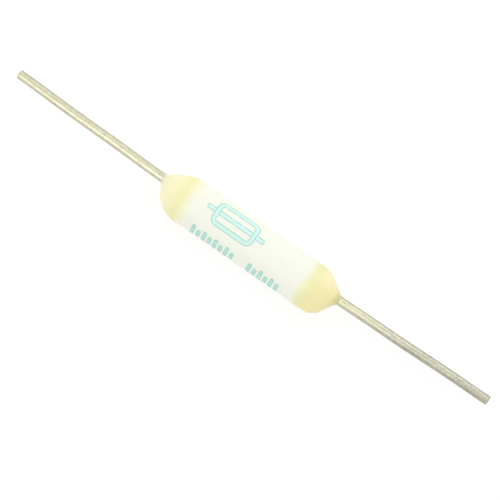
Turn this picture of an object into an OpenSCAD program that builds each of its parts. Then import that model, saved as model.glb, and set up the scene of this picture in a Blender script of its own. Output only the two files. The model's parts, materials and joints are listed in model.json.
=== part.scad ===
// Axial thermal fuse. A fusible alloy link joins two lead wires inside a ceramic tube.
// Flux coats the link, and a bead of resin seals each end of the tube around its lead.
// The tube lies along X with its middle at the origin. The leads run side by side with its axis,
// a little off centre towards +Y, as the wires settled before the resin set.

/* [Ceramic tube] */
// Length of the tube
tube_l = 10; // [7.6:0.1:20]
// Outside diameter of the tube
tube_d = 3; // [2.4:0.05:5]
// Diameter of the bore through the tube
bore_d = 2; // [1.85:0.05:2.7]
// Chamfer on the inner and outer edges of the tube's ends
tube_chamfer = 0.1; // [0.02:0.01:0.2]

/* [Lead wires] */
// Diameter of the tinned wire
lead_d = 0.6; // [0.4:0.02:0.7]
// Length of each lead from the tip of its seal to its cut end
lead_l = 11; // [4:0.5:40]
// Distance from the tube's axis to the leads
lead_offset = 0.28; // [0.04:0.02:0.36]
// Angle by which each lead leans towards +Y outside its seal
lead_lean = 1; // [0.5:0.5:15]
// Bend radius at the lead's middle, where the lean begins
lead_bend_r = 6; // [1:0.5:10]
// Swelling of the wire's radius round the bend
lead_swell = 0.01; // [0.005:0.005:0.04]
// Straight length of lead between the tip of the seal and the bend
lead_stub = 0.1; // [0.05:0.05:1]
// Chamfer that the cutter leaves on the lead's outer end
lead_chamfer = 0.06; // [0.02:0.01:0.15]

/* [Fusible link] */
// Distance between the two lead ends that the alloy bridges
link_gap = 4; // [1:0.1:4.6]
// Diameter of the alloy rod
link_d = 0.84; // [0.76:0.02:1]
// Length of each lead end that the alloy wets and wraps
link_wrap = 0.4; // [0.1:0.05:0.6]
// Length of the taper at each end of the rod
link_taper = 0.3; // [0.1:0.05:0.8]
// Thickness of the alloy at its thin edge on the lead
link_edge = 0.04; // [0.02:0.01:0.08]

/* [Flux coating] */
// Thickness of the flux over the alloy rod
flux_t = 0.2; // [0.05:0.01:0.28]
// Length of flux on the lead past each end of the rod
flux_lap = 0.5; // [0.1:0.05:1]
// Length of the taper at each end of the coating
flux_taper = 0.6; // [0.1:0.05:1.2]
// Thickness of the flux at its thin edge on the lead
flux_edge = 0.05; // [0.02:0.01:0.1]

/* [End seals] */
// Height of the resin bead above the tube's end, on the tube's axis
seal_h = 1.52; // [0.9:0.02:2.2]
// Thickness of the resin film over the tube's outside where the bead is widest
seal_film = 0.03; // [0.02:0.005:0.2]
// Distance from the tube's end back to where the bead is widest
seal_setback = 0.4; // [0.05:0.05:0.5]
// Depth of the resin plug in the tube's bore
seal_plug = 1.4; // [1.2:0.05:1.9]
// Height that the resin climbs the lead above the top of the bead
seal_climb = 0.1; // [0.06:0.01:0.4]
// Radius of the hollow fillet that the climbing resin forms round the lead
seal_fillet_r = 0.35; // [0.2:0.05:0.5]
// Slope from the lead's axis at which the fillet runs out into the bead
seal_fillet_slope = 35; // [20:1:37]

/* [Hidden] */
$fn = 64;

ceramic_colour = [0.96, 0.96, 0.93];
tin_colour = [0.80, 0.78, 0.70];
alloy_colour = [0.66, 0.66, 0.68];
flux_colour = [0.82, 0.60, 0.24];
resin_colour = [0.96, 0.91, 0.68];

tube_r = tube_d / 2;
bore_r = bore_d / 2;
lead_r = lead_d / 2;
tube_end = tube_l / 2;

// The bead's outer skin is one arc. It tops out at seal_h on the axis and is widest at bead_r.
bead_r = tube_r + seal_film;
bead_widest = tube_end - seal_setback;
bead_rise = seal_h + seal_setback;
bead_arc_centre = (pow(bead_r, 2) - pow(bead_rise, 2)) / (2 * bead_r);
bead_arc_r = bead_r - bead_arc_centre;

// The fillet leaves the lead at the seal's tip and ends inside the bead.
seal_tip = tube_end + seal_h + seal_climb;
fillet_steps = 5;
fillet_foot = tube_end + seal_h / 2;
fillet_low = seal_tip - seal_fillet_r * sin(seal_fillet_slope);
fillet_low_r = lead_r + seal_fillet_r * (1 - cos(seal_fillet_slope));
fillet_foot_r = fillet_low_r + (fillet_low - fillet_foot) * tan(seal_fillet_slope);

// The lead is straight to the bend, turns through the lean and then runs straight to its end.
// Its straight stretches run on into the bend by bend_bite, and stay inside the swelling there.
bend_start = seal_tip + lead_stub;
bend_l = lead_bend_r * lead_lean * PI / 180;
bite_share = 0.3;
bend_bite = min(bite_share * bend_l, sqrt(lead_swell * lead_bend_r));
lead_inside = bend_start - link_gap / 2;
lead_outside = lead_l - lead_stub - bend_l;

link_l = link_gap + 2 * link_wrap;
flux_l = link_l + 2 * flux_lap;

// Turns a shape that is built up along Z so that it lies along X
module along_x() {
    rotate([0, 90, 0])
        children();
}

// Half section of the tube, with the radius across and the tube's axis up
module tube_section() {
    polygon([
        [bore_r, -tube_end + tube_chamfer],
        [bore_r + tube_chamfer, -tube_end],
        [tube_r - tube_chamfer, -tube_end],
        [tube_r, -tube_end + tube_chamfer],
        [tube_r, tube_end - tube_chamfer],
        [tube_r - tube_chamfer, tube_end],
        [bore_r + tube_chamfer, tube_end],
        [bore_r, tube_end - tube_chamfer]
    ]);
}

// Half section of one seal without its lead: the bead's cap and the plug, less the tube's wall
module seal_section() {
    difference() {
        union() {
            intersection() {
                translate([bead_arc_centre, bead_widest])
                    circle(r = bead_arc_r);
                translate([0, tube_end - seal_plug])
                    square([2 * bead_r, seal_plug + 2 * seal_h]);
            }
            translate([0, tube_end - seal_plug])
                square([bore_r, seal_plug]);
        }
        tube_section();
    }
}

// Half section of the resin that climbs a lead, with the lead's axis up
module fillet_section() {
    hollow = [
        for (i = [0 : fillet_steps])
            let (a = seal_fillet_slope * i / fillet_steps)
                [lead_r + seal_fillet_r * (1 - cos(a)), seal_tip - seal_fillet_r * sin(a)]
    ];
    polygon(concat([[0, fillet_foot], [0, seal_tip]], hollow, [[fillet_foot_r, fillet_foot]]));
}

// Half section of the straight outer stretch of a lead, from inside its bend to its chamfered end
module lead_end_section() {
    polygon([
        [0, -bend_bite],
        [lead_r, -bend_bite],
        [lead_r, lead_outside - lead_chamfer],
        [lead_r - lead_chamfer, lead_outside],
        [0, lead_outside]
    ]);
}

// A bar along the leads' axis, of length l and radius r, that tapers to end_r at both ends
module tapered_bar(l, r, taper, end_r) {
    translate([0, lead_offset, 0])
        along_x()
            rotate_extrude()
                polygon([
                    [0, -l / 2],
                    [end_r, -l / 2],
                    [r, -l / 2 + taper],
                    [r, l / 2 - taper],
                    [end_r, l / 2],
                    [0, l / 2]
                ]);
}

// The right-hand lead from its inner end to its cut end, laid out from the start of its bend
module right_lead() {
    translate([bend_start, lead_offset, 0]) {
        translate([-lead_inside, 0, 0])
            along_x()
                cylinder(d = lead_d, h = lead_inside + bend_bite);
        translate([0, lead_bend_r, 0]) {
            rotate([0, 0, -90])
                rotate_extrude(angle = lead_lean)
                    translate([lead_bend_r, 0])
                        circle(r = lead_r + lead_swell);
            rotate([0, 0, lead_lean])
                translate([0, -lead_bend_r, 0])
                    along_x()
                        rotate_extrude()
                            lead_end_section();
        }
    }
}

// The right-hand seal: bead, plug and fillet, bored for the lead
module right_seal() {
    difference() {
        union() {
            along_x()
                rotate_extrude()
                    seal_section();
            translate([0, lead_offset, 0])
                along_x()
                    rotate_extrude()
                        fillet_section();
        }
        translate([tube_end - 2 * seal_plug, lead_offset, 0])
            along_x()
                cylinder(d = lead_d, h = 2 * seal_plug + 2 * seal_h);
    }
}

module ceramic_tube() {
    color(ceramic_colour)
        along_x()
            rotate_extrude()
                tube_section();
}

module lead_wire_left() {
    color(tin_colour)
        mirror([1, 0, 0])
            right_lead();
}

module lead_wire_right() {
    color(tin_colour)
        right_lead();
}

module fusible_link() {
    color(alloy_colour)
        difference() {
            tapered_bar(link_l, link_d / 2, link_taper, lead_r + link_edge);
            lead_wire_left();
            lead_wire_right();
        }
}

module flux_coating() {
    color(flux_colour)
        difference() {
            tapered_bar(flux_l, link_d / 2 + flux_t, flux_taper, lead_r + flux_edge);
            tapered_bar(link_l, link_d / 2, link_taper, lead_r + link_edge);
            lead_wire_left();
            lead_wire_right();
        }
}

module end_seal_left() {
    color(resin_colour)
        mirror([1, 0, 0])
            right_seal();
}

module end_seal_right() {
    color(resin_colour)
        right_seal();
}

ceramic_tube();
lead_wire_left();
lead_wire_right();
fusible_link();
flux_coating();
end_seal_left();
end_seal_right();
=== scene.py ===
# Looks of an axial thermal fuse: a ceramic tube, a resin bead at each end, tinned leads and printed marks.
# The modelling is in millimetres in the part's own frame: X along the tube, +Y to the leads' side, Z up.
# An angle round the tube is measured from +Z towards -Y in the prints, and from +Y towards +Z elsewhere.
import json
import math

import bmesh
import bpy
import numpy as np
from mathutils import Matrix, Vector


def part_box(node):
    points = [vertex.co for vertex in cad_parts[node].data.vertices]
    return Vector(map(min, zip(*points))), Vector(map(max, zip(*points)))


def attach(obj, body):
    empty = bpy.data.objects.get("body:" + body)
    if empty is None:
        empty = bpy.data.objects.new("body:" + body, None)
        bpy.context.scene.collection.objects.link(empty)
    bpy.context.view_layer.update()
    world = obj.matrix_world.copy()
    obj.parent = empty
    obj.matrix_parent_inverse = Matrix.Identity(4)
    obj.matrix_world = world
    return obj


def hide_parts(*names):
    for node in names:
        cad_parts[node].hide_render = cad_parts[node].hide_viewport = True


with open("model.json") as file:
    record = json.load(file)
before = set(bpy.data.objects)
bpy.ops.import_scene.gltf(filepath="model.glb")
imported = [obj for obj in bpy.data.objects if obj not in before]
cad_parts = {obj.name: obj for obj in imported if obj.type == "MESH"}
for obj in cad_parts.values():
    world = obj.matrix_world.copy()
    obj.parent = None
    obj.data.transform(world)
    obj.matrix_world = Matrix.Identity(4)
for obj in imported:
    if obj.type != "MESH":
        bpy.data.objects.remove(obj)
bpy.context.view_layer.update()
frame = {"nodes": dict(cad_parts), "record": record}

MM = 0.001


def box_mm(node):
    """Lowest and highest corner of a CAD node, in millimetres."""
    low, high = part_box(node)
    return np.array(low) / MM, np.array(high) / MM


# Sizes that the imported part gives
tube_box = box_mm("ceramic_tube")
seal_box = box_mm("end_seal_right")
link_box = box_mm("fusible_link")
lead_box = box_mm("lead_wire_right")
pin = {mount["name"]: mount for mount in frame["record"]["mounts"]}["lead_right"]
TUBE_R = tube_box[1][2]
TUBE_END = tube_box[1][0]
SEAL_R = min(*seal_box[1][1:], *-seal_box[0][1:])
SEAL_TIP = seal_box[1][0]
PLUG_END = seal_box[0][0]
LEAD_R = pin["dims"]["r_mm"]
LEAD_Y = (link_box[0][1] + link_box[1][1]) / 2
LEAD_START = lead_box[0][0]
LEAD_TIP = lead_box[1][0]
LEAD_MIDDLE = np.array(pin["pos_m"]) / MM
LEAD_AXIS = np.array(pin["axis"])

# Sizes inside the part, as in its source
BORE_R = 1.0
TUBE_CHAMFER = 0.1
SEAL_SETBACK = 0.4
LEAD_CHAMFER = 0.06

# Fineness of the meshes, and the angle from which an edge is shaded as a sharp one
SEGMENTS = 144
LEAD_SEGMENTS = 72
SHARP_ANGLE = math.radians(35)


def smooth(x):
    """A smooth step from 0 at 0 to 1 at 1."""
    x = np.clip(x, 0.0, 1.0)
    return x * x * (3 - 2 * x)


def srgb(red, green, blue):
    """A colour of 0 to 255 as the linear colour that Blender takes."""
    values = np.array([red, green, blue]) / 255
    linear = np.where(values <= 0.04045, values / 12.92, ((values + 0.055) / 1.055) ** 2.4)
    return (*[float(v) for v in linear], 1.0)


# Meshes


def make_mesh(name, points, faces, attributes):
    """A smooth-shaded mesh object from points in millimetres, with one float per point in each attribute."""
    mesh = bpy.data.meshes.new(name)
    mesh.from_pydata((np.asarray(points) * MM).tolist(), [], faces)
    for key, values in attributes.items():
        layer = mesh.attributes.new(key, "FLOAT", "POINT")
        layer.data.foreach_set("value", np.asarray(values, np.float32))
    work = bmesh.new()
    work.from_mesh(mesh)
    bmesh.ops.recalc_face_normals(work, faces=work.faces)
    work.to_mesh(mesh)
    work.free()
    mesh.shade_smooth()
    mesh.set_sharp_from_angle(angle=SHARP_ANGLE)
    made = bpy.data.objects.new(name, mesh)
    bpy.context.scene.collection.objects.link(made)
    return made


def ring_faces(rings, segments, closed):
    """Quads between rings of points, and between the last and the first ring where the loft is closed."""
    faces = []
    for k in range(rings if closed else rings - 1):
        a = k * segments
        b = (k + 1) % rings * segments
        for j in range(segments):
            n = (j + 1) % segments
            faces.append((a + j, a + n, b + n, b + j))
    return faces


def dress(piece, material, slot, *nodes):
    """Gives a piece its material, and lets it ride on the part in place of CAD nodes. The slot is not used.
    """
    piece.data.materials.append(material)
    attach(piece, "root")
    if nodes:
        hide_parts(*nodes)


# Materials

# The Mix node has sockets of the same name for each kind of value. These are the ones for colours.
MIX_FACTOR = 0
MIX_A = 6
MIX_B = 7
MIX_RESULT = 2


class Shader:
    """One material, built up node by node on its Principled BSDF, with its textures in millimetres."""

    def __init__(self, name, **constants):
        self.material = bpy.data.materials.new(name)
        self.material.use_nodes = True
        self.tree = self.material.node_tree
        self.bsdf = self.tree.nodes["Principled BSDF"]
        for key, value in constants.items():
            self.bsdf.inputs[key.replace("_", " ")].default_value = value
        where = self.node("ShaderNodeTexCoord").outputs["Object"]
        scaled = self.node("ShaderNodeVectorMath", {0: where, "Scale": 1 / MM}, operation="SCALE")
        self.mm = scaled.outputs[0]

    def node(self, kind, inputs=None, **settings):
        """A new node. Each of its inputs is given a value, or a socket to be linked to."""
        made = self.tree.nodes.new(kind)
        for key, value in settings.items():
            setattr(made, key, value)
        for key, value in (inputs or {}).items():
            if isinstance(value, bpy.types.NodeSocket):
                self.tree.links.new(value, made.inputs[key])
            else:
                made.inputs[key].default_value = value
        return made

    def set(self, name, socket):
        self.tree.links.new(socket, self.bsdf.inputs[name])

    def stretched(self, x, y, z):
        """The place on the part in millimetres, times a factor along each axis."""
        return self.node("ShaderNodeVectorMath", {0: self.mm, 1: (x, y, z)}, operation="MULTIPLY").outputs[0]

    def noise(self, scale, detail=3.0, vector=None, roughness=0.5):
        inputs = {"Vector": vector or self.mm, "Scale": scale, "Detail": detail, "Roughness": roughness}
        return self.node("ShaderNodeTexNoise", inputs).outputs["Fac"]

    def cells(self, scale, vector=None):
        inputs = {"Vector": vector or self.mm, "Scale": scale}
        return self.node("ShaderNodeTexVoronoi", inputs).outputs["Distance"]

    def attribute(self, name):
        return self.node("ShaderNodeAttribute", attribute_name=name).outputs["Fac"]

    def range(self, value, low, high, to_low=0.0, to_high=1.0):
        """A value between low and high as one between to_low and to_high, which it never leaves."""
        inputs = {"Value": value, "From Min": low, "From Max": high, "To Min": to_low, "To Max": to_high}
        return self.node("ShaderNodeMapRange", inputs).outputs["Result"]

    def math(self, operation, a, b):
        return self.node("ShaderNodeMath", {0: a, 1: b}, operation=operation).outputs[0]

    def mix(self, factor, a, b, blend="MIX"):
        inputs = {MIX_FACTOR: factor, MIX_A: a, MIX_B: b}
        return self.node("ShaderNodeMix", inputs, data_type="RGBA", blend_type=blend).outputs[MIX_RESULT]

    def bump(self, height, distance_mm, strength=1.0, under=None):
        inputs = {"Height": height, "Distance": distance_mm * MM, "Strength": strength}
        if under is not None:
            inputs["Normal"] = under
        return self.node("ShaderNodeBump", inputs).outputs["Normal"]


CERAMIC_WHITE = srgb(249, 250, 238)
CERAMIC_SHADE = srgb(246, 247, 232)
CERAMIC_SPECK = srgb(205, 200, 182)


def ceramic_colour(shader):
    """Fired ceramic: a warm white, clouded a little, with a few fine specks."""
    body = shader.mix(shader.noise(1.1, detail=4.0), CERAMIC_WHITE, CERAMIC_SHADE)
    specks = shader.range(shader.cells(2.6), 0.035, 0.06, to_low=0.35, to_high=0.0)
    return shader.mix(specks, body, CERAMIC_SPECK)


def ceramic_material():
    shader = Shader("ceramic", Subsurface_Weight=0.12, Subsurface_Scale=0.3 * MM, Specular_IOR_Level=0.4)
    shader.bsdf.inputs["Subsurface Radius"].default_value = (1.0, 0.95, 0.8)
    shader.set("Base Color", ceramic_colour(shader))
    grain = shader.noise(14.0, detail=5.0)
    shader.set("Roughness", shader.range(grain, 0.3, 0.7, to_low=0.42, to_high=0.56))
    shader.set("Normal", shader.bump(grain, 0.006, strength=0.5))
    return shader.material


# Colours of the resin, each clouded between a paler and a richer one. Thin is the film on the tube and
# cream the dome, where the colour isn't deepened. Olive, honey and amber are the film, the dome and the tip,
# where it is: partly thicker resin and partly painted shade, the shade most in the amber at the lead.
# Honey is lighter on the +Y side, which is a painted highlight.
THIN = srgb(248, 244, 187), srgb(245, 240, 178)
CREAM = srgb(254, 249, 208), srgb(253, 246, 199)
OLIVE = srgb(242, 240, 184), srgb(238, 235, 176)
HONEY = srgb(252, 240, 183), srgb(248, 233, 171)
AMBER_AND_SHADE = srgb(236, 222, 162), srgb(229, 215, 150)
HONEY_PAINTED_HIGHLIGHT = srgb(251, 241, 190)


def resin_material():
    """Cured resin. Its attribute film fades it into the ceramic, bulk thickens it, and deep_and_shaded
    colours it deeper, partly as thicker resin and partly as painted shade.
    """
    shader = Shader("resin", Subsurface_Scale=0.5 * MM, Specular_IOR_Level=0.5)
    shader.bsdf.inputs["Subsurface Radius"].default_value = (1.0, 0.8, 0.35)
    clouds = shader.noise(1.3)
    pairs = (THIN, CREAM, OLIVE, HONEY, AMBER_AND_SHADE)
    thin, cream, olive, honey, amber_and_shade = [shader.mix(clouds, *pair) for pair in pairs]
    side = shader.node("ShaderNodeSeparateXYZ", {0: shader.mm}).outputs["Y"]
    # Painted highlight: the honey is made lighter towards +Y, the side the light falls on
    honey = shader.mix(shader.range(side, 0.1, 0.9), honey, HONEY_PAINTED_HIGHLIGHT)
    bulk = shader.attribute("bulk")
    deep_and_shaded = shader.attribute("deep_and_shaded")
    body = shader.mix(shader.range(bulk, 0.15, 1.0), thin, cream)
    # Deeper colours, partly thicker resin and partly painted shade, which is strongest in the amber at the
    # lead
    body = shader.mix(shader.range(deep_and_shaded, 0.0, FILM_DEEP), body, olive)
    body = shader.mix(shader.range(deep_and_shaded, FILM_DEEP, DOME_DEEP), body, honey)
    body = shader.mix(shader.range(deep_and_shaded, DOME_DEEP, TIP_DEEP_AND_SHADED), body, amber_and_shade)
    ragged = shader.range(shader.noise(2.2), 0.3, 0.7, to_low=-0.04, to_high=0.04)
    edge = shader.math("ADD", shader.attribute("film"), ragged)
    shader.set("Base Color", shader.mix(edge, ceramic_colour(shader), body))
    shader.set("Subsurface Weight", shader.range(bulk, 0.0, 1.0, to_high=0.3))
    dullness = shader.range(shader.noise(3.0), 0.3, 0.7, to_low=-0.05, to_high=0.05)
    satin = shader.range(bulk, 0.0, 0.5, to_low=0.46, to_high=0.33)
    shader.set("Roughness", shader.math("ADD", satin, dullness))
    shader.set("Normal", shader.bump(shader.noise(1.7, detail=2.0), 0.006, strength=0.4))
    return shader.material


TIN_PALE = srgb(211, 209, 183)
TIN_DEEP = srgb(193, 191, 165)
TIN_DULL_AND_SHADED = srgb(177, 176, 162)
TIN_ROSY = srgb(255, 251, 254)
TIN_GREENISH = srgb(252, 254, 245)
TIN_MOTTLE = srgb(144, 140, 114)
TIN_SPECK = srgb(144, 140, 118)
TIN_PIT = srgb(138, 133, 108)
TIN_NICK = srgb(226, 223, 204)
COPPER = srgb(190, 134, 102)
COPPER_SMEAR = srgb(196, 170, 146)


def wire_material():
    """Tinned wire: drawing lines, cloudy patches, small pits and bright nicks, and copper at the cut end.

    The attribute dull_and_shaded makes the wire greyer, partly as duller tin and partly as a painted darker
    reflection, and core shows the copper.
    """
    shader = Shader("tinned_wire", Metallic=1.0, Anisotropic=0.2)
    drawn = shader.noise(1.0, detail=4.0, vector=shader.stretched(0.35, 16.0, 16.0), roughness=0.6)
    blotch = shader.noise(0.9, detail=4.0, vector=shader.stretched(0.8, 2.2, 2.2))
    mottle = shader.noise(2.2, detail=4.0, vector=shader.stretched(1.0, 1.7, 1.7), roughness=0.6)
    patches = shader.noise(1.0, vector=shader.stretched(1.1, 1.6, 1.6))
    specks = shader.noise(7.0, detail=2.0, vector=shader.stretched(0.7, 1.0, 1.0))
    pit_cells = shader.cells(1.0, shader.stretched(2.6, 5.0, 5.0))
    pits = shader.range(pit_cells, 0.1, 0.17, to_low=1.0, to_high=0.0)
    nick_cells = shader.cells(1.0, shader.stretched(1.1, 3.2, 3.2))
    nicks = shader.range(nick_cells, 0.1, 0.16, to_low=1.0, to_high=0.0)
    smear = shader.noise(9.0, vector=shader.stretched(1.0, 1.0, 4.0))

    blotched = shader.range(blotch, 0.36, 0.6, to_low=0.6)
    # Painted reflection mixed with duller tin: the wire is greyer where dull_and_shaded is high
    dull_and_shaded = shader.math("MULTIPLY", shader.attribute("dull_and_shaded"), blotched)
    tin = shader.mix(drawn, TIN_PALE, TIN_DEEP)
    tin = shader.mix(dull_and_shaded, tin, TIN_DULL_AND_SHADED)
    tin = shader.mix(shader.range(patches, 0.5, 0.62), tin, TIN_ROSY, "MULTIPLY")
    tin = shader.mix(shader.range(patches, 0.5, 0.38), tin, TIN_GREENISH, "MULTIPLY")
    tin = shader.mix(shader.range(mottle, 0.45, 0.68, to_high=0.24), tin, TIN_MOTTLE)
    speckled = shader.range(dull_and_shaded, 0.0, 1.0, to_low=0.16, to_high=0.5)
    tin = shader.mix(shader.math("MULTIPLY", shader.range(specks, 0.48, 0.62), speckled), tin, TIN_SPECK)
    tin = shader.mix(shader.math("MULTIPLY", pits, 0.4), tin, TIN_PIT)
    tin = shader.mix(shader.math("MULTIPLY", nicks, 0.25), tin, TIN_NICK)
    copper = shader.mix(shader.range(smear, 0.35, 0.65), COPPER, COPPER_SMEAR)
    shader.set("Base Color", shader.mix(shader.attribute("core"), tin, copper))
    shader.set("Roughness", shader.range(drawn, 0.3, 0.7, to_low=0.34, to_high=0.44))
    ridges = shader.bump(drawn, 0.01, strength=0.5)
    clouded = shader.bump(mottle, 0.02, strength=0.5, under=ridges)
    pitted = shader.bump(pits, -0.008, strength=0.5, under=clouded)
    shader.set("Normal", shader.bump(nicks, 0.012, strength=0.4, under=pitted))
    return shader.material


INK_PALE = srgb(214, 248, 240)
INK_RIM = srgb(158, 216, 204)


def ink_material():
    """Printed ink that gathered at the rim of each stroke and is a little worn."""
    shader = Shader("ink", Specular_IOR_Level=0.3)
    rim = shader.range(shader.attribute("rim"), 0.35, 0.95)
    teal = shader.mix(rim, INK_PALE, INK_RIM)
    worn = shader.range(shader.noise(5.5, detail=5.0), 0.54, 0.74, to_high=0.6)
    shader.set("Base Color", shader.mix(worn, teal, CERAMIC_WHITE))
    grain = shader.noise(22.0)
    shader.set("Roughness", shader.range(grain, 0.3, 0.7, to_low=0.5, to_high=0.68))
    shader.set("Normal", shader.bump(grain, 0.004, strength=0.5))
    return shader.material


def alloy_material():
    shader = Shader("fusible_alloy", Metallic=1.0)
    grain = shader.noise(4.0, detail=5.0)
    shader.set("Base Color", shader.mix(grain, srgb(188, 189, 193), srgb(150, 151, 157)))
    shader.set("Roughness", shader.range(grain, 0.3, 0.7, to_low=0.36, to_high=0.55))
    shader.set("Normal", shader.bump(grain, 0.02, strength=0.5))
    return shader.material


def flux_material():
    shader = Shader("flux", Subsurface_Weight=0.5, Subsurface_Scale=0.6 * MM, Coat_Weight=0.3)
    shader.bsdf.inputs["Subsurface Radius"].default_value = (1.0, 0.55, 0.15)
    flow = shader.noise(1.4, detail=4.0)
    shader.set("Base Color", shader.mix(flow, srgb(228, 186, 92), srgb(201, 146, 54)))
    shader.set("Roughness", shader.range(flow, 0.3, 0.7, to_low=0.16, to_high=0.32))
    shader.set("Normal", shader.bump(flow, 0.04, strength=0.5))
    return shader.material


# The tube

ANGLES = np.arange(SEGMENTS) * 2 * math.pi / SEGMENTS

# Shares of the tube's half length at which its skin and its bore have rings
SKIN_STEPS = (0.0, 0.3, 0.6, 0.9)
BORE_STEPS = (0.6, 0.0)


def round_ring(x, radius, centre_y=0.0):
    """A ring round the X axis, or round a line beside it at centre_y. Its x and radius may vary round it."""
    x = np.broadcast_to(x, ANGLES.shape)
    return np.stack([x, centre_y + radius * np.cos(ANGLES), radius * np.sin(ANGLES)], axis=1)


def ceramic_tube(material):
    """A closed loft along the skin, round the chamfered ends and through the bore."""
    end = [
        (TUBE_R, TUBE_CHAMFER),
        (TUBE_R - TUBE_CHAMFER, 0.0),
        (BORE_R + TUBE_CHAMFER, 0.0),
        (BORE_R, TUBE_CHAMFER),
    ]
    half = [(TUBE_R, TUBE_END * step) for step in SKIN_STEPS]
    half += [(radius, TUBE_END - depth) for radius, depth in end]
    half += [(BORE_R, TUBE_END * step) for step in BORE_STEPS]
    profile = half + [(radius, -x) for radius, x in half[-2:0:-1]]
    rings = [round_ring(x, radius) for radius, x in profile]
    piece = make_mesh("tube", np.concatenate(rings), ring_faces(len(rings), SEGMENTS, True), {})
    dress(piece, material, "ceramic", "ceramic_tube")


# The seals

# Depth of colour on the tube, on the dome and at the lead, for a seal with a deeper colour, which is partly
# thicker resin and partly painted shade, most at the lead
FILM_DEEP = 0.25
DOME_DEEP = 0.5
TIP_DEEP_AND_SHADED = 1.0

# Each seal: the CAD node it stands for, the side it is on, the distance from the tube's end back to the
# middle of its film's edge (mean, more towards +Y, more towards +Z), twice the length over which its colour
# runs out before and past that middle, the depth of its colour on the tube, on the dome and at the lead,
# which is partly painted shade, and the swelling of its shoulder (side in Y, height, radius at which it
# ends), where a height below zero flattens it
SEALS = {
    "seal_left": dict(
        node="end_seal_left", sign=-1, lap=(0.65, -0.03, -0.12), fade=(0.8, 1.3),
        deep_and_shaded=(0.0, 0.0, 0.0), swell=(1, -0.06, 1.1),
    ),
    "seal_right": dict(
        node="end_seal_right", sign=1, lap=(0.77, 0.0, -0.02), fade=(0.67, 0.85),
        deep_and_shaded=(FILM_DEEP, DOME_DEEP, TIP_DEEP_AND_SHADED), swell=(-1, 0.1, 0.8),
    ),
}

# Place along X at which a seal is widest, and numbers of rings on its film, on its dome and round the lead
WIDEST = TUBE_END - SEAL_SETBACK
FILM_RINGS = 16
DOME_RINGS = 30
TIP_RINGS = 22

# Thickness of the film at its thin edge, and the ripple of that edge
FILM_EDGE = 0.004
RIPPLE = 0.03 * np.sin(3 * ANGLES + 0.7) + 0.02 * np.sin(7 * ANGLES + 2.0)

# Depth of the dome's top below the seal's tip, the radius inside which its rings lie closer, and the one
# inside which it leans to the lead
APEX_DEPTH = 0.1
FINE_FROM = 0.65
LEAN_FROM = 1.05

# Length over which the meniscus on the lead runs out. It is shorter on the +Y side.
MENISCUS = 0.13 - 0.07 * np.cos(ANGLES)

# How far the dome is out of round, as a share of its radius, the lengths over which that sets in at the
# dome's rim and at the lead, the share of three lobes in it beside two, the angle of the two lobes, and the
# twist of the three in radians per millimetre of radius
UNEVEN = 0.005
UNEVEN_RIM = 0.2
UNEVEN_TIP = 0.3
THREE_LOBED = 0.6
TWO_LOBE_TURN = 1.1
THREE_LOBE_TWIST = 4.0

# Lengths over which the swelling of the shoulder sets in at the dome's rim and ends further in
SWELL_RIM = 0.15
SWELL_INSIDE = 0.25

# Length over which the resin grows thick, how far before the tube's end and over which length it takes the
# dome's colour, and the radius inside which and the length over which it takes the colour at the lead, which
# is partly painted shade where the bead meets the lead
BULK_RUN = 1.3
DOME_BEFORE = 0.45
DOME_RUN = 0.6
TIP_FROM = 0.9
TIP_RUN = 0.5


def dome_profile():
    """Radius and height over its widest place of each ring of the dome, which is one arc down to the lead."""
    rise = SEAL_TIP - APEX_DEPTH - WIDEST
    arc_centre = (SEAL_R ** 2 - rise ** 2) / (2 * SEAL_R)
    arc_r = SEAL_R - arc_centre
    turns = np.linspace(0, math.acos((FINE_FROM - arc_centre) / arc_r), DOME_RINGS)
    outer = arc_centre + arc_r * np.cos(turns)
    inner = np.linspace(FINE_FROM, LEAD_R, TIP_RINGS)[1:]
    radii = np.concatenate([outer, inner])
    return radii, np.sqrt(arc_r ** 2 - (radii - arc_centre) ** 2)


def dome_ring(radius, height, climb, swell):
    """A ring of the dome, which leans to the lead, climbs it, and is swollen and out of round."""
    lifted = height + climb * np.exp((LEAD_R - radius) / MENISCUS)
    centre = LEAD_Y * smooth((LEAN_FROM - radius) / (LEAN_FROM - LEAD_R))
    uneven = UNEVEN * smooth((SEAL_R - radius) / UNEVEN_RIM) * smooth((radius - LEAD_R) / UNEVEN_TIP)
    three_lobes = THREE_LOBED * np.sin(3 * ANGLES + THREE_LOBE_TWIST * radius)
    lobes = np.sin(2 * ANGLES + TWO_LOBE_TURN) + three_lobes - (1 + THREE_LOBED)
    side, swelling, inner = swell
    shoulder = smooth((SEAL_R - radius) / SWELL_RIM) * smooth((radius - inner) / SWELL_INSIDE)
    swollen = swelling * np.clip(side * np.cos(ANGLES), 0, 1) ** 2 * shoulder
    return round_ring(WIDEST + lifted, radius * (1 + uneven * lobes) + swollen, centre)


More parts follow.
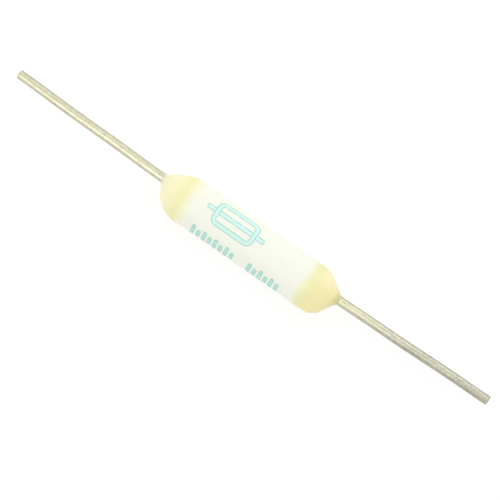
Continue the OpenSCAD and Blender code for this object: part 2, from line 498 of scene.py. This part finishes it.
def resin_seal(name, material, node, sign, lap, fade, deep_and_shaded, swell):
    """A bead of resin as a closed loft: a film that laps the tube, the dome, and the plug inside."""
    rings = []
    films = []
    depths = []
    bulks = []
    half_way = lap[0] + lap[1] * np.cos(ANGLES) + lap[2] * np.sin(ANGLES) + RIPPLE

    def add(ring, depth):
        past = TUBE_END - ring[:, 0] - half_way
        rings.append(ring)
        films.append(1 - smooth(0.5 + past / np.where(past < 0, *fade)))
        depths.append(np.full(SEGMENTS, depth))
        bulks.append(smooth((ring[:, 0] - WIDEST) / BULK_RUN))

    film_end = TUBE_END - half_way - fade[1] / 2
    film = SEAL_R - TUBE_R
    for step in np.linspace(0, 1, FILM_RINGS)[:-1]:
        thickness = FILM_EDGE + (film - FILM_EDGE) * smooth(step)
        add(round_ring(film_end + step * (WIDEST - film_end), TUBE_R + thickness), deep_and_shaded[0])

    radii, heights = dome_profile()
    climb = SEAL_TIP - WIDEST - heights[-1]
    for radius, height in zip(radii, heights):
        on_dome = smooth((WIDEST + height - TUBE_END + DOME_BEFORE) / DOME_RUN)
        # Towards the lead the colour deepens, partly as thicker resin and partly as painted shade where the
        # bead meets the lead
        at_tip = smooth((TIP_FROM - radius) / TIP_RUN)
        depth = deep_and_shaded[0] + (deep_and_shaded[1] - deep_and_shaded[0]) * on_dome + (deep_and_shaded[2] - deep_and_shaded[1]) * at_tip
        add(dome_ring(radius, height, climb, swell), depth)

    add(round_ring(PLUG_END, LEAD_R, LEAD_Y), deep_and_shaded[2])
    seat = [
        (BORE_R, PLUG_END),
        (BORE_R, TUBE_END - TUBE_CHAMFER),
        (BORE_R + TUBE_CHAMFER, TUBE_END),
        (TUBE_R - TUBE_CHAMFER, TUBE_END),
        (TUBE_R, TUBE_END - TUBE_CHAMFER),
        (TUBE_R, film_end),
    ]
    for radius, x in seat:
        add(round_ring(x, radius), deep_and_shaded[2])
    points = np.concatenate(rings) * (sign, 1, 1)
    lists = {"film": films, "deep_and_shaded": depths, "bulk": bulks}
    attributes = {key: np.concatenate(values) for key, values in lists.items()}
    piece = make_mesh(name, points, ring_faces(len(rings), SEGMENTS, True), attributes)
    dress(piece, material, "resin", node)


# The leads

# Each lead: the CAD node it stands for, the side it is on, and the distances from the part's middle at which
# it starts to be greyer and is at its greyest, with how grey it is there. The grey is partly duller tin and
# partly a painted darker reflection.
LEADS = {
    "lead_left": dict(node="lead_wire_left", sign=-1, dull_and_shaded=(8.0, 14.0, 0.1)),
    "lead_right": dict(node="lead_wire_right", sign=1, dull_and_shaded=(6.5, 12.0, 1.0)),
}
LEAD_STEPS = 150
LEAD_TURNS = np.arange(LEAD_SEGMENTS) * 2 * math.pi / LEAD_SEGMENTS

# How far a lead wanders from true, its waves in radians per millimetre, and the length over which that
# sets in past the seal
WAVINESS = 0.012
WAVES_Y = 0.9
WAVES_Z = 0.7
WAVES_SET_IN = 4

# Thickness of the tin, and how far the copper is hollowed at the cut
TIN_T = 0.035
CORE_HOLLOW = 0.004


def lead_wire(name, material, node, sign, dull_and_shaded):
    """A drawn wire along the CAD lead: straight in the seal, leaning outside it, and cut off square."""
    slope = LEAD_AXIS[1] / LEAD_AXIS[0]
    bend = LEAD_MIDDLE[0] - (LEAD_MIDDLE[1] - LEAD_Y) / slope
    x = np.linspace(LEAD_START, LEAD_TIP - slope * LEAD_R, LEAD_STEPS)
    wander = WAVINESS * smooth((x - SEAL_TIP) / WAVES_SET_IN)
    y = LEAD_Y + slope * np.maximum(x - bend, 0) + wander * np.sin(WAVES_Y * x + sign)
    z = wander * np.sin(WAVES_Z * x + 2 * sign)
    slant = np.gradient(y, x)
    rings = []
    cores = []

    def add(k, radius, back=0.0, core=0.0):
        along = x[k] - back - slant[k] * radius * np.cos(LEAD_TURNS)
        ring = [along, y[k] + radius * np.cos(LEAD_TURNS), z[k] + radius * np.sin(LEAD_TURNS)]
        rings.append(np.stack(ring, axis=1))
        cores.append(np.full(LEAD_SEGMENTS, core))

    last = LEAD_STEPS - 1
    face_r = LEAD_R - LEAD_CHAMFER
    add(0, LEAD_R / 2)
    for k in range(last):
        add(k, LEAD_R)
    add(last, LEAD_R, back=LEAD_CHAMFER)
    add(last, LEAD_R - LEAD_CHAMFER / 2, back=LEAD_CHAMFER / 4)
    add(last, face_r)
    add(last, face_r - TIN_T / 2, back=CORE_HOLLOW, core=1.0)
    add(last, LEAD_R / 2, back=2 * CORE_HOLLOW, core=1.0)
    faces = ring_faces(len(rings), LEAD_SEGMENTS, False)
    first_cap = tuple(range(LEAD_SEGMENTS))
    faces += [first_cap, tuple(j + (len(rings) - 1) * LEAD_SEGMENTS for j in first_cap)]
    points = np.concatenate(rings) * (sign, 1, 1)
    # How grey the lead gets along it, partly duller tin and partly a painted darker reflection
    start, full, strength = dull_and_shaded
    dull_and_shaded_share = smooth((np.abs(points[:, 0]) - start) / (full - start)) * strength
    piece = make_mesh(name, points, faces, {"core": np.concatenate(cores), "dull_and_shaded": dull_and_shaded_share})
    dress(piece, material, "tinned_wire", node)


# The print: generic marks in two rows. Each row is placed by its middle angle on the tube, in degrees.

UPPER_ANGLE = -16.4
LOWER_ANGLE = 65.6

# Thickness of the ink, how deep its shell reaches into the tube, and how far the top of the sign's line lies
# below that of its box
INK_T = 0.006
INK_SUNK = 0.02
LINE_BELOW = 0.001

# Width of a stroke, the number of strips across half a bar or a whole outline, the length of a step along it,
# and the least number of rows along a bar
STROKE = 0.33
STROKE_ACROSS = 8
STROKE_STEP = 0.05
LEAST_ROWS = 6

# How much a stroke's width strays, as shares of it, and the waves along the stroke in which it does
SLOW_STRAY = 0.05
SLOW_WAVES = 7
QUICK_STRAY = 0.04
QUICK_WAVES = 17

# The fuse sign over the bars
SIGN_MIDDLE = (-1.22, 0.0)
BOX_SIZE = (2.7, 1.4)
BOX_CORNER = 0.3
BOX_CORNER_POINTS = 7
LINE_L = 4.2
LINE_RIM = 0.5 * STROKE

# The bars: the rounding of their ends as a share of their width, the least half height at their ends, and the
# width and the two heights of the bars in the lower row, with the first place and the number of each group
BAR_ROUNDING = 0.3
BAR_LEAST = 0.02
TICK_W = 0.25
TICK_HEIGHTS = (1.15, 0.8)
TICK_PITCH = 0.41
TICK_RIM = 0.9 * STROKE
TICK_GROUPS = ((-3.27, 8), (0.9, 6))


def on_tube(x, arc, angle, lift):
    """A point of the unrolled tube, arc millimetres round from an angle, at a height over the tube's skin."""
    turn = math.radians(angle) + arc / TUBE_R
    radius = TUBE_R + lift
    return np.stack([x, -radius * np.sin(turn), radius * np.cos(turn)], axis=-1)


def ink_patch(name, grid, rim, angle, lift, closed, material):
    """A thin closed shell over a grid of (x, arc) points. Each row of the grid lies across the stroke."""
    rows, columns = grid.shape[:2]
    top = on_tube(grid[..., 0], grid[..., 1], angle, lift)
    under = on_tube(grid[..., 0], grid[..., 1], angle, -INK_SUNK)
    loops = np.concatenate([top, under[:, ::-1]], axis=1)
    around = 2 * columns
    faces = ring_faces(rows, around, closed)
    if not closed:
        for row in (0, rows - 1):
            for j in range(columns - 1):
                a = row * around
                faces.append((a + j, a + j + 1, a + around - 2 - j, a + around - 1 - j))
    rims = np.concatenate([rim, rim[:, ::-1]], axis=1)
    piece = make_mesh(name, loops.reshape(-1, 3), faces, {"rim": rims.ravel()})
    dress(piece, material, "ink")


def stray(turn, phase):
    """Share of its width that a printed stroke has at a place along it, which is given as an angle."""
    slow = SLOW_STRAY * np.sin(SLOW_WAVES * turn + phase)
    quick = QUICK_STRAY * np.sin(QUICK_WAVES * turn + 2 * phase)
    return 1 + slow + quick


def bar_mark(name, centre, length, height, angle, lift, rim_width, material):
    """A filled bar with rounded corners, darker at its rim."""
    rows = max(int(length / STROKE_STEP), LEAST_ROWS)
    along = np.linspace(-1, 1, rows)
    across = np.linspace(-1, 1, 2 * STROKE_ACROSS + 1)
    u, v = np.meshgrid(along, across, indexing="ij")
    corner = min(length, height) * BAR_ROUNDING
    in_corner = np.clip((np.abs(u) * length / 2 - length / 2 + corner) / corner, 0, 1)
    inset = corner * (1 - np.sqrt(np.clip(1 - in_corner ** 2, 0, 1)))
    reach = (height / 2 - np.minimum(inset, height / 2 - BAR_LEAST)) * stray(u, 5 * centre[0])
    grid = np.stack([centre[0] + u * length / 2, centre[1] + v * reach], axis=-1)
    inside = np.minimum((1 - np.abs(u)) * length / 2, (1 - np.abs(v)) * height / 2)
    ink_patch(name, grid, 1 - np.clip(inside / rim_width, 0, 1), angle, lift, False, material)


def rounded_loop(length, height, corner):
    """Points at even steps along a rectangle with rounded corners, about its middle."""
    points = []
    for cx, cy, start in ((1, 1, 0), (-1, 1, 90), (-1, -1, 180), (1, -1, 270)):
        for turn in np.radians(start + np.linspace(0, 90, BOX_CORNER_POINTS)):
            px = cx * (length / 2 - corner) + corner * math.cos(turn)
            py = cy * (height / 2 - corner) + corner * math.sin(turn)
            points.append((px, py))
    loop = np.array(points + points[:1])
    run = np.concatenate([[0], np.cumsum(np.linalg.norm(np.diff(loop, axis=0), axis=1))])
    even = np.linspace(0, run[-1], int(run[-1] / STROKE_STEP) + 1)[:-1]
    return np.stack([np.interp(even, run, loop[:, i]) for i in (0, 1)], axis=1)


def frame_mark(name, centre, size, angle, lift, material):
    """An outlined rectangle with rounded corners, darker along both rims of its stroke."""
    path = rounded_loop(*size, BOX_CORNER)
    ahead = np.roll(path, -1, axis=0) - np.roll(path, 1, axis=0)
    side = np.stack([ahead[:, 1], -ahead[:, 0]], axis=1) / np.linalg.norm(ahead, axis=1)[:, None]
    across = np.linspace(-1, 1, STROKE_ACROSS + 1)
    width = STROKE * stray(np.arange(len(path)) * 2 * math.pi / len(path), 1.0)
    offset = side[:, None] * across[None, :, None] * width[:, None, None] / 2
    grid = np.array(centre) + path[:, None] + offset
    rim = np.broadcast_to(np.abs(across), grid.shape[:2])
    ink_patch(name, grid, rim, angle, lift, True, material)


def prints(material):
    """A fuse sign, which is a box with a line through it, over two groups of plain bars."""
    frame_mark("print_box", SIGN_MIDDLE, BOX_SIZE, UPPER_ANGLE, INK_T, material)
    line_t = INK_T - LINE_BELOW
    bar_mark("print_line", SIGN_MIDDLE, LINE_L, STROKE, UPPER_ANGLE, line_t, LINE_RIM, material)
    places = [first + TICK_PITCH * k for first, count in TICK_GROUPS for k in range(count)]
    for k, place in enumerate(places):
        height = TICK_HEIGHTS[k % 2]
        bar_mark(f"print_tick_{k + 1}", (place, 0.0), TICK_W, height, LOWER_ANGLE, INK_T, TICK_RIM, material)


# All the pieces

ceramic_tube(ceramic_material())
resin = resin_material()
for name, facts in SEALS.items():
    resin_seal(name, resin, **facts)
wire = wire_material()
for name, facts in LEADS.items():
    lead_wire(name, wire, **facts)
prints(ink_material())
for node, material in (("fusible_link", alloy_material()), ("flux_coating", flux_material())):
    for holder in frame["nodes"][node].material_slots:
        holder.material = material


# The stage

FLOOR_SIZE = 6000

# Reflectance of the floor for the light it throws back and where it shows, the glow that it shows besides,
# and the strength of the surroundings for the light they give and where they show
FLOOR_WHITE = 0.94
FLOOR_SHOWN = 0.26
FLOOR_GLOW = 0.77
AMBIENT = 0.845
AMBIENT_SHOWN = 1.0


def visible_ray(tree):
    """1 for the rays that show the white ground: camera, glossy and transmission rays."""
    path = tree.nodes.new("ShaderNodeLightPath")
    total = path.outputs["Is Camera Ray"]
    for name in ("Is Glossy Ray", "Is Transmission Ray"):
        either = tree.nodes.new("ShaderNodeMath")
        either.operation = "MAXIMUM"
        tree.links.new(total, either.inputs[0])
        tree.links.new(path.outputs[name], either.inputs[1])
        total = either.outputs[0]
    return total


def level_by_ray(tree, shown, hidden_level, shown_level):
    """One level for the rays that show the white ground, and another for the rest."""
    level = tree.nodes.new("ShaderNodeMapRange")
    level.inputs["To Min"].default_value = hidden_level
    level.inputs["To Max"].default_value = shown_level
    tree.links.new(shown, level.inputs["Value"])
    return level.outputs["Result"]


def floor_material():
    """A white that keeps the part's shadow, and glows so that it shows as the photo's white ground."""
    material = bpy.data.materials.new("floor")
    material.use_nodes = True
    tree = material.node_tree
    tree.nodes.clear()
    shown = visible_ray(tree)
    diffuse = tree.nodes.new("ShaderNodeBsdfDiffuse")
    tree.links.new(level_by_ray(tree, shown, FLOOR_WHITE, FLOOR_SHOWN), diffuse.inputs["Color"])
    glow = tree.nodes.new("ShaderNodeEmission")
    tree.links.new(level_by_ray(tree, shown, 0.0, FLOOR_GLOW), glow.inputs["Strength"])
    blend = tree.nodes.new("ShaderNodeAddShader")
    tree.links.new(diffuse.outputs[0], blend.inputs[0])
    tree.links.new(glow.outputs[0], blend.inputs[1])
    out = tree.nodes.new("ShaderNodeOutputMaterial")
    tree.links.new(blend.outputs[0], out.inputs["Surface"])
    return material


def white_floor():
    half = FLOOR_SIZE / 2
    level = -SEAL_R
    corners = [(-half, -half, level), (half, -half, level), (half, half, level), (-half, half, level)]
    floor = make_mesh("floor", corners, [(0, 1, 2, 3)], {})
    floor.data.materials.append(floor_material())


def soft_world():
    world = bpy.data.worlds.new("studio")
    bpy.context.scene.world = world
    world.use_nodes = True
    tree = world.node_tree
    background = tree.nodes["Background"]
    background.inputs["Color"].default_value = (1, 1, 1, 1)
    strength = level_by_ray(tree, visible_ray(tree), AMBIENT, AMBIENT_SHOWN)
    tree.links.new(strength, background.inputs["Strength"])


white_floor()
soft_world()


# The camera and the lamps

AZIMUTH = math.radians(34.98)
ELEVATION = math.radians(85)
LENS = 250.0
SENSOR = 36.0
DISTANCE = 213.7
AIM_RIGHT = 0.09
AIM_UP = -0.43
CLIP_START = 1
CLIP_END = 20000

# Ways from the part's middle: to the camera, to the right and up in the picture, along the tube, and across
# it towards the lower left of the picture
BACK = Vector((
    math.sin(AZIMUTH) * math.cos(ELEVATION),
    -math.cos(AZIMUTH) * math.cos(ELEVATION),
    math.sin(ELEVATION),
))
RIGHT = Vector((math.cos(AZIMUTH), math.sin(AZIMUTH), 0))
UP = BACK.cross(RIGHT)
AXIS = Vector((1, 0, 0))
ACROSS = AXIS.cross(BACK).normalized()


def soft_box(name, aim_x, way, along, distance, size, radiance, lights=True):
    """An area lamp that faces a point of the tube's axis from a way, with its width along another one.

    A lamp that doesn't light the part shows in its reflections alone.
    """
    lamp = bpy.data.lights.new(name, "AREA")
    lamp.shape = "RECTANGLE"
    lamp.size = size[0] * MM
    lamp.size_y = size[1] * MM
    lamp.energy = radiance * math.pi * lamp.size * lamp.size_y
    made = bpy.data.objects.new(name, lamp)
    bpy.context.scene.collection.objects.link(made)
    way = way.normalized()
    across = (along - way * way.dot(along)).normalized()
    turn = Matrix((across, way.cross(across), way)).transposed()
    made.matrix_world = Matrix.Translation((AXIS * aim_x + way * distance) * MM) @ turn.to_4x4()
    made.visible_camera = False
    made.visible_diffuse = lights


soft_box(
    "key", aim_x=0, way=BACK * 0.62 - ACROSS * 0.79, along=AXIS,
    distance=90, size=(150, 140), radiance=0.41,
)
soft_box(
    "strip", aim_x=-10.7, way=BACK * 42 + ACROSS * 18.4, along=AXIS * 0.84 - ACROSS * 0.545,
    distance=46, size=(52, 16), radiance=2.4, lights=False,
)
soft_box(
    "fill", aim_x=-6, way=BACK * 0.5 + ACROSS * 0.75 - AXIS * 0.5, along=AXIS,
    distance=80, size=(90, 60), radiance=0.38,
)
soft_box(
    "rim", aim_x=15, way=BACK * 0.4 - ACROSS * 0.92, along=AXIS,
    distance=50, size=(14, 50), radiance=1.0, lights=False,
)

camera = bpy.data.cameras.new("camera")
camera.lens = LENS
camera.sensor_width = SENSOR
camera.clip_start = CLIP_START * MM
camera.clip_end = CLIP_END * MM
viewer = bpy.data.objects.new("camera", camera)
bpy.context.scene.collection.objects.link(viewer)
viewer.location = (BACK * DISTANCE + RIGHT * AIM_RIGHT + UP * AIM_UP) * MM
viewer.rotation_mode = "QUATERNION"
viewer.rotation_quaternion = (-BACK).to_track_quat("-Z", "Y")
bpy.context.scene.camera = viewer
bpy.context.scene.view_settings.view_transform = "Standard"
